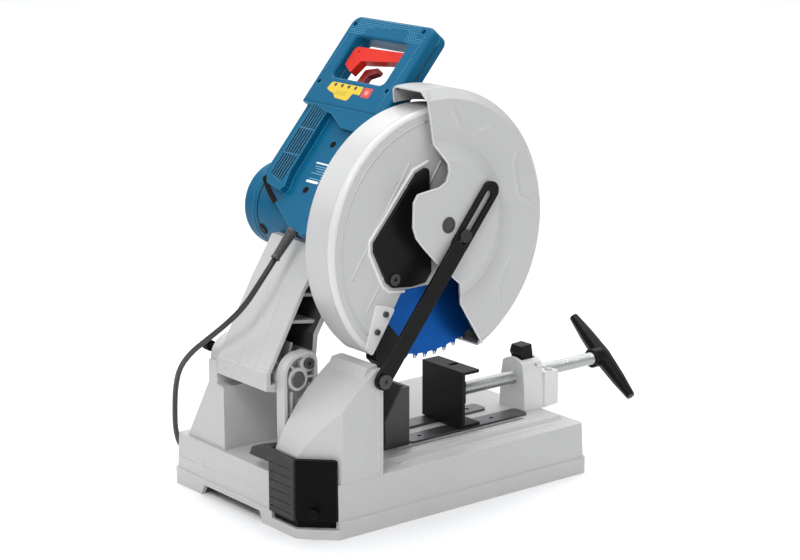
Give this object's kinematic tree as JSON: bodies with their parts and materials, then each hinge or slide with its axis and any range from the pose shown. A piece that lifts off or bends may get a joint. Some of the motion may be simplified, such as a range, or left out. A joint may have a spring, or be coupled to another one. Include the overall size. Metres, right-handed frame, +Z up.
{
  "type": "bench metal-cutting chop saw",
  "caption": "Bench chop saw with a hinged motor head, guarded cutting disc, linked swing guard, D-handle with trigger, screw vise, angle fence, chip chute and slide-out chip box on a cast base.",
  "frame": {"origin": "centre of the bench bolt pattern on the plane the base stands on", "axes": "+X towards the operator, -Y the blade side, +Z up; head hinge axis parallel to Y"},
  "size_m": [0.5818, 0.496, 0.5836],
  "materials": {
    "casting": "painted silver-grey die casting, satin",
    "guard_silver": "silver-grey painted pressed sheet, satin",
    "black_paint": "black satin paint",
    "fence_dark": "dark grey paint",
    "rail_steel": "ground steel, oiled and dark",
    "zinc": "bright zinc plate",
    "shaft_steel": "ground steel",
    "gear_steel": "machined steel, greased",
    "bronze": "sintered bronze",
    "laminations": "laminated steel with copper windings",
    "housing_blue": "petrol blue moulded housing, fine texture",
    "red_plastic": "red moulded plastic",
    "dark_red_plastic": "dark red moulded plastic",
    "bin_black": "black moulded plastic",
    "cap_grey": "dark grey ribbed plastic",
    "fan_nylon": "natural nylon",
    "blade_blue": "blue coated steel blade body",
    "boot_rubber": "grey-black rubber",
    "cord_rubber": "black rubber sheath"
  },
  "bodies": {
    "base": {"base_casting": "casting", "far_tower": "casting", "pivot_bracket": "casting", "chute_housing": "casting", "pivot_shaft": "shaft_steel", "stop_screw": "zinc", "lever_bolt": "zinc", "bed_rails": "rail_steel", "vise_bolts": "zinc", "nut_housing": "casting", "half_nut_pin": "zinc", "cord_run": "cord_rubber", "cord_coil": "cord_rubber", "cord_tail": "cord_rubber", "mains_plug": "cord_rubber"},
    "head": {"swing_arm": "casting", "arm_bushes": "bronze", "return_spring": "shaft_steel", "gearbox_housing": "casting", "gearbox_cover": "casting", "ball_bearings": "shaft_steel", "motor_housing": "housing_blue", "motor_end_cap": "housing_blue", "stator": "laminations", "brush_holders": "bronze", "rear_shell": "housing_blue", "front_shell": "housing_blue", "power_switch": "bin_black", "housing_screws": "zinc", "fixed_guard": "guard_silver", "access_cover": "black_paint", "guard_screws": "zinc", "guard_bracket": "black_paint", "chip_guide": "black_paint", "guard_hinge_bolt": "zinc", "cord_boot": "boot_rubber"},
    "swing_guard": {"swing_guard": "guard_silver", "drive_pin": "zinc"},
    "lever": {"link_lever": "black_paint"},
    "blade": {"saw_blade": "blade_blue", "arbor_shaft": "shaft_steel", "drive_gear": "gear_steel", "inner_flange": "shaft_steel", "outer_flange": "shaft_steel", "arbor_bolt": "zinc"},
    "rotor": {"rotor": "laminations", "cooling_fan": "fan_nylon", "pinion": "gear_steel"},
    "chip_bin": {"chip_box": "bin_black", "chip_box_cap": "cap_grey", "chip_box_knob": "bin_black"},
    "fence": {"fence": "fence_dark"},
    "jaw": {"vise_jaw": "black_paint"},
    "spindle": {"vise_spindle": "zinc", "t_handle": "black_paint"},
    "half_nut": {"half_nut": "black_paint"},
    "trigger": {"trigger_bar": "red_plastic"},
    "lock_off": {"lock_off": "dark_red_plastic"},
    "spindle_lock": {"spindle_lock": "red_plastic"},
    "transport_lock": {"transport_lock_pin": "bin_black"}
  },
  "joints": [
    {"name": "head_swing", "type": "hinge", "parent": "base", "child": "head", "pos_m": [-0.175, 0, 0.178], "axis": [0, 1, 0], "range_deg": [0, 34], "stiffness_Nm_per_rad": 32, "springref_deg": -57.3},
    {"name": "guard_swing", "type": "hinge", "parent": "head", "child": "swing_guard", "pos_m": [-0.01, -0.13, 0.36], "axis": [0, 1, 0], "range_deg": [-74, 0]},
    {"name": "lever_swing", "type": "hinge", "parent": "base", "child": "lever", "pos_m": [-0.116, -0.15, 0.186], "axis": [0, 1, 0], "range_deg": [0, 38]},
    {"name": "blade_spin", "type": "hinge", "parent": "head", "child": "blade", "pos_m": [-0.004, -0.095, 0.336], "axis": [0, 1, 0], "continuous": true},
    {"name": "rotor_spin", "type": "hinge", "parent": "head", "child": "rotor", "pos_m": [-0.06003, 0.05, 0.34997], "axis": [0, 1, 0], "continuous": true},
    {"name": "chip_box_slide", "type": "slide", "parent": "base", "child": "chip_bin", "axis": [-1, 0, 0], "range_m": [0, 0.11]},
    {"name": "fence_swivel", "type": "hinge", "parent": "base", "child": "fence", "pos_m": [-0.046, -0.022, 0.08], "axis": [0, 0, 1], "range_deg": [-45, 0]},
    {"name": "jaw_slide", "type": "slide", "parent": "base", "child": "jaw", "axis": [1, 0, 0], "range_m": [-0.078, 0.08]},
    {"name": "spindle_turn", "type": "hinge", "parent": "jaw", "child": "spindle", "pos_m": [0.2, -0.053, 0.114], "axis": [1, 0, 0], "continuous": true},
    {"name": "half_nut_lift", "type": "hinge", "parent": "base", "child": "half_nut", "pos_m": [0.202, -0.053, 0.131], "axis": [0, 1, 0], "range_deg": [0, 12], "stiffness_Nm_per_rad": 0.3, "springref_deg": -34.38},
    {"name": "trigger_squeeze", "type": "hinge", "parent": "head", "child": "trigger", "pos_m": [0.01894, 0.06, 0.54034], "axis": [-0.7581, 0, 0.6521], "range_deg": [0, 4.5], "stiffness_Nm_per_rad": 2, "springref_deg": -6.88},
    {"name": "lock_off_slide", "type": "slide", "parent": "head", "child": "lock_off", "axis": [0.7581, 0, -0.6521], "range_m": [0, 0.005], "stiffness_N_per_m": 200, "springref_m": -0.004},
    {"name": "spindle_lock_press", "type": "slide", "parent": "head", "child": "spindle_lock", "axis": [-0.5, 0, -0.866], "range_m": [0, 0.003], "stiffness_N_per_m": 300, "springref_m": -0.003},
    {"name": "transport_lock_push", "type": "slide", "parent": "base", "child": "transport_lock", "axis": [0, -1, 0], "range_m": [0, 0.01]}
  ],
  "couplings": [
    {"joint": "guard_swing", "follows": "head_swing", "ratio": -2.15},
    {"joint": "lever_swing", "follows": "head_swing", "ratio": 1.085},
    {"joint": "rotor_spin", "follows": "blade_spin", "ratio": -8.625}
  ]
}
